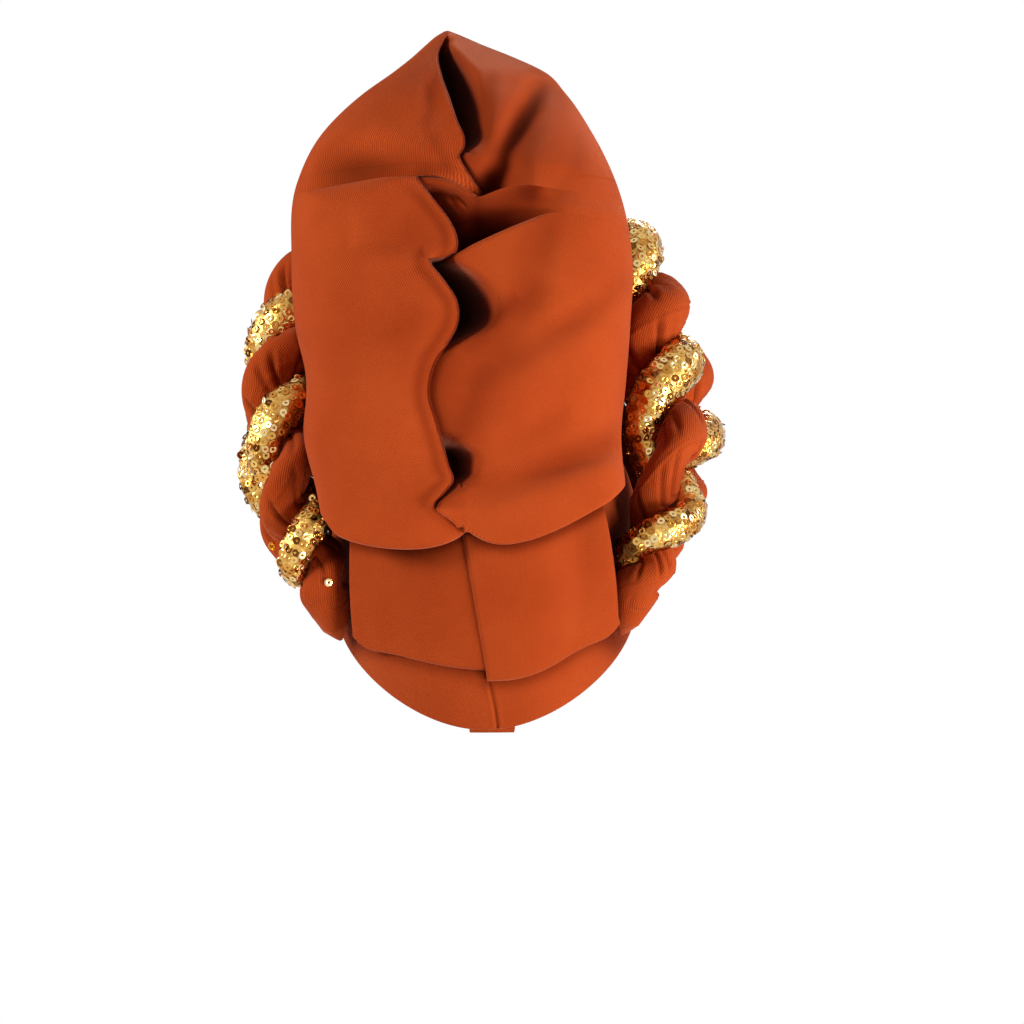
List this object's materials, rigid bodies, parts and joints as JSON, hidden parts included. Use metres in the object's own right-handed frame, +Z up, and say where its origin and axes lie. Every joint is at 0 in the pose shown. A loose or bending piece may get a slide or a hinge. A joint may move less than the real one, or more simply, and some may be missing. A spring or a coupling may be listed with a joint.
{
  "type": "turban hat",
  "caption": "Tall puffed satin turban hat with a folded back, flat nape panels and twisted satin and gold sequin ropes over the brow.",
  "frame": {"origin": "where the top of a head meets the inside of the cap", "axes": "+Z up, +Y the way the wearer faces, +X to the wearer's right"},
  "size_m": [0.2429, 0.2263, 0.344],
  "materials": {
    "satin": "burnt orange satin with a soft sheen",
    "gold": "shiny gold cloth covered with small sequins"
  },
  "bodies": {
    "root": {"base_cap": "satin", "nape_tab": "satin", "panel_left": "satin", "panel_right": "satin", "forehead_band": "satin", "crown": "satin", "rear_rope_satin": "satin", "rear_rope_gold": "gold", "front_rope_satin": "satin", "front_rope_gold": "gold"}
  },
  "joints": []
}
